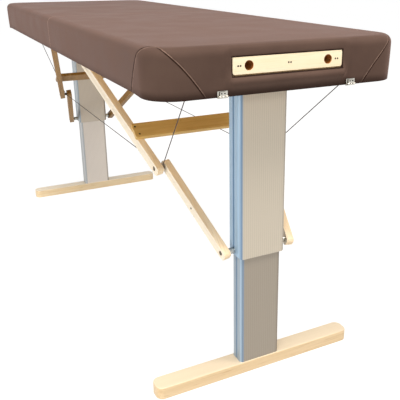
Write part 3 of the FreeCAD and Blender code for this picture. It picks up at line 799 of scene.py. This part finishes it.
kx, ky, kz = KNEE
run = Vector((ANCHOR[0] - kx, ANCHOR[1] - ky, ANCHOR[2] - kz)).normalized() * KNEE_CLEAR
for half, side in HALVES:
    for hand, s in HANDS:
        knee_end = (s * (kx + run.x), side * (ky + run.y), kz + run.z)
        top_end = (s * ANCHOR[0], side * (ANCHOR[1] - ANCHOR_IN), ANCHOR[2] - ANCHOR_IN)
        obj = wire(half + "_" + hand + "_end_cable", top_end, knee_end)
        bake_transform(obj)
    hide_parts(half + "_end_cables")

for hand, s in HANDS:
    x = s * kx
    reach = ky - KNEE_CLEAR
    pieces = (
        ("near_" + hand + "_knee_cable", -reach, -TURN_Y, "near_upper_brace", "near_pad"),
        ("middle_" + hand + "_knee_cable", -TURN_Y, TURN_Y, "near_pad", "far_pad"),
        ("far_" + hand + "_knee_cable", TURN_Y, reach, "far_pad", "far_upper_brace"),
    )
    for name, y_a, y_b, body_a, body_b in pieces:
        a = (x, y_a, kz)
        b = (x, y_b, kz)
        obj = wire(name, a, b)
        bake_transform(obj)
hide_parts("knee_cables")


# Screws and rivets: a low head with a round recess, made once and copied

PLATE_SCREWS_X = (-0.1285, -0.1225, -0.003, 0.003, 0.1225, 0.1285)
PLATE_SCREW_Y = -0.974
BOARD_SCREWS = (0.106, 0.134)
BOARD_SCREW_UP = 0.0271
RIVETS = ((0.25, 0.3), (0.75, 0.3), (0.25, 0.75), (0.75, 0.75))
RIVET_IN = 0.0003


def screw_head(name, radius):
    bpy.ops.object.select_all(action="DESELECT")
    bpy.ops.mesh.primitive_cylinder_add(vertices=24, radius=radius, depth=radius * 0.5)
    obj = bpy.context.object
    obj.name = name
    pick(obj, "FACE", lambda c, n: n.z > 0.9)
    bpy.ops.mesh.inset(thickness=radius * 0.25)
    bpy.ops.transform.translate(value=(0, 0, radius * 0.12))
    bpy.ops.mesh.inset(thickness=radius * 0.4)
    bpy.ops.mesh.extrude_region_move(TRANSFORM_OT_translate={"value": (0, 0, -radius * 0.08)})
    mode("OBJECT")
    bpy.ops.object.shade_smooth_by_angle(angle=math.radians(35))
    obj.data.materials.append(dark_steel)
    return obj


def place_copy(source, name, at, normal, body):
    obj = source.copy()
    obj.data = source.data.copy()
    obj.name = name
    scene.collection.objects.link(obj)
    turn = Vector((0, 0, 1)).rotation_difference(Vector(normal)).to_matrix().to_4x4()
    turn.translation = Vector(at)
    obj.data.transform(turn)
    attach(obj, body)


tiny_screw = screw_head("tiny_screw_pattern", 0.0019)
for i, x in enumerate(PLATE_SCREWS_X):
    place_copy(tiny_screw, "plate_screw_%d" % i, (x, PLATE_SCREW_Y, SOCKET_Z), (0, -1, 0), "near_pad")
bpy.data.objects.remove(tiny_screw)

small_screw = screw_head("screw_pattern", 0.0032)
slim_screw = screw_head("slim_screw_pattern", 0.0024)
lean = math.atan2(LOWER_TOP_X - LOWER_FOOT[0], LOWER_LENGTH)
for half, side in HALVES:
    # Two screws at each end of the cross board, square to the upper links
    up = (0.0, side * LINK_DIR[1], LINK_DIR[0])
    for s in (-1, 1):
        for i, along in enumerate(BOARD_SCREWS):
            x = s * (UPPER_KNEE_X + (UPPER_TOP_X - UPPER_KNEE_X) * along / UPPER_LENGTH)
            y = side * (ky - LINK_DIR[0] * along + LINK_DIR[1] * BOARD_SCREW_UP)
            z = kz + LINK_DIR[1] * along + LINK_DIR[0] * BOARD_SCREW_UP
            place_copy(small_screw, "%s_board_screw_%d_%d" % (half, s, i), (x, y, z), up,
                       half + "_upper_brace")
    # One screw half way along each lower link, in its outer side
    for s in (-1, 1):
        x = (LOWER_TOP_X + LOWER_FOOT[0]) / 2 + LINK_HALF_T / math.cos(lean)
        at = (s * x, side * (ky + LOWER_FOOT[1]) / 2, (kz + LOWER_FOOT[2]) / 2)
        out = (s * math.cos(lean), side * math.sin(lean) * LINK_DIR[0], -math.sin(lean) * LINK_DIR[1])
        place_copy(slim_screw, "%s_lower_link_screw_%d" % (half, s), at, out, half + "_lower_brace")
bpy.data.objects.remove(slim_screw)
bpy.data.objects.remove(small_screw)

# Four rivets in the face of each latch lever
rivet = screw_head("rivet_pattern", 0.0013)
for hand, s in HANDS:
    low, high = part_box("latch_lever_" + hand)
    for i, (fx, fz) in enumerate(RIVETS):
        at = (low[0] + (high[0] - low[0]) * fx, low[1] + RIVET_IN, low[2] + (high[2] - low[2]) * fz)
        place_copy(rivet, "%s_latch_rivet_%d" % (hand, i), at, (0, -1, 0), hand + "_latch")
bpy.data.objects.remove(rivet)


# Floor, light and camera

FLOOR_SIZE = 90
FLOOR_GLOW = 0.89
WORLD_LIGHT = 0.37
WORLD_MIRRORED = 0.88
WHITE = (1.0, 1.0, 1.0, 1.0)


def floor():
    bpy.ops.object.select_all(action="DESELECT")
    bpy.ops.mesh.primitive_plane_add(size=FLOOR_SIZE, location=(0, 0, 0))
    obj = bpy.context.object
    obj.name = "studio_floor"
    mat, tree, shader, place = start_material("pale_studio_floor", 0.9)
    put(tree, shader, "Specular IOR Level", 0.1)
    # A pale grey card for the light it throws back, seen as white paper that still takes a faint shadow
    path = add(tree, "ShaderNodeLightPath").outputs
    seen = calc(tree, "MAXIMUM", path["Is Camera Ray"], path["Is Glossy Ray"])
    put(tree, shader, "Base Color", mixed(tree, seen, "d0d0ce", "808080"))
    shader.inputs["Emission Color"].default_value = WHITE
    put(tree, shader, "Emission Strength", calc(tree, "MULTIPLY", seen, FLOOR_GLOW))
    obj.data.materials.append(mat)


def lamp(name, place, target, size, watts, tint):
    data = bpy.data.lights.new(name, "AREA")
    data.shape = "DISK"
    data.size = size
    data.energy = watts
    data.color = linear(tint)[:3]
    obj = bpy.data.objects.new(name, data)
    scene.collection.objects.link(obj)
    obj.location = place
    obj.rotation_euler = (Vector(target) - Vector(place)).to_track_quat("-Z", "Y").to_euler()


floor()
lamp("key_softbox", (-0.9, -1.9, 4.7), (0, -0.2, 0.8), 2.2, 184, "fff6ea")
lamp("right_softbox", (1.9, -2.3, 3.7), (0, -0.5, 0.8), 1.4, 62, "fff6ea")
lamp("front_fill", (0.1, -4.5, 2.1), (0, -0.8, 0.6), 0.7, 30, "fff6ea")
lamp("left_window", (-3.9, -1.6, 1.0), (0, -0.6, 0.6), 2.4, 66, "fff8ee")

# The world lights the object softly, mirrors brighter in smooth faces and is white to the camera
world = bpy.data.worlds.new("soft_studio")
scene.world = world
world.use_nodes = True
sky = world.node_tree
back = sky.nodes["Background"]
back.inputs["Color"].default_value = WHITE
path = add(sky, "ShaderNodeLightPath").outputs
plain = ranged(sky, path["Is Camera Ray"], 0.0, 1.0, WORLD_LIGHT, 1.0)
mirrored = calc(sky, "MULTIPLY", path["Is Glossy Ray"], WORLD_MIRRORED)
put(sky, back, "Strength", calc(sky, "MAXIMUM", plain, mirrored))

# The camera as solved from the photo
CAMERA_AT = (-0.7269, -2.1141, 1.0614)
CAMERA_DOWN = 0.32756
CAMERA_TURN = -0.48444
camera = bpy.data.cameras.new("photo_camera")
camera.sensor_width = 36.0
camera.lens = 54.82
camera.shift_x = -0.0969
camera.shift_y = -0.0612
viewer = bpy.data.objects.new("photo_camera", camera)
scene.collection.objects.link(viewer)
viewer.location = CAMERA_AT
viewer.rotation_euler = (math.pi / 2 - CAMERA_DOWN, 0.0, CAMERA_TURN)
scene.camera = viewer
scene.view_settings.view_transform = "Standard"
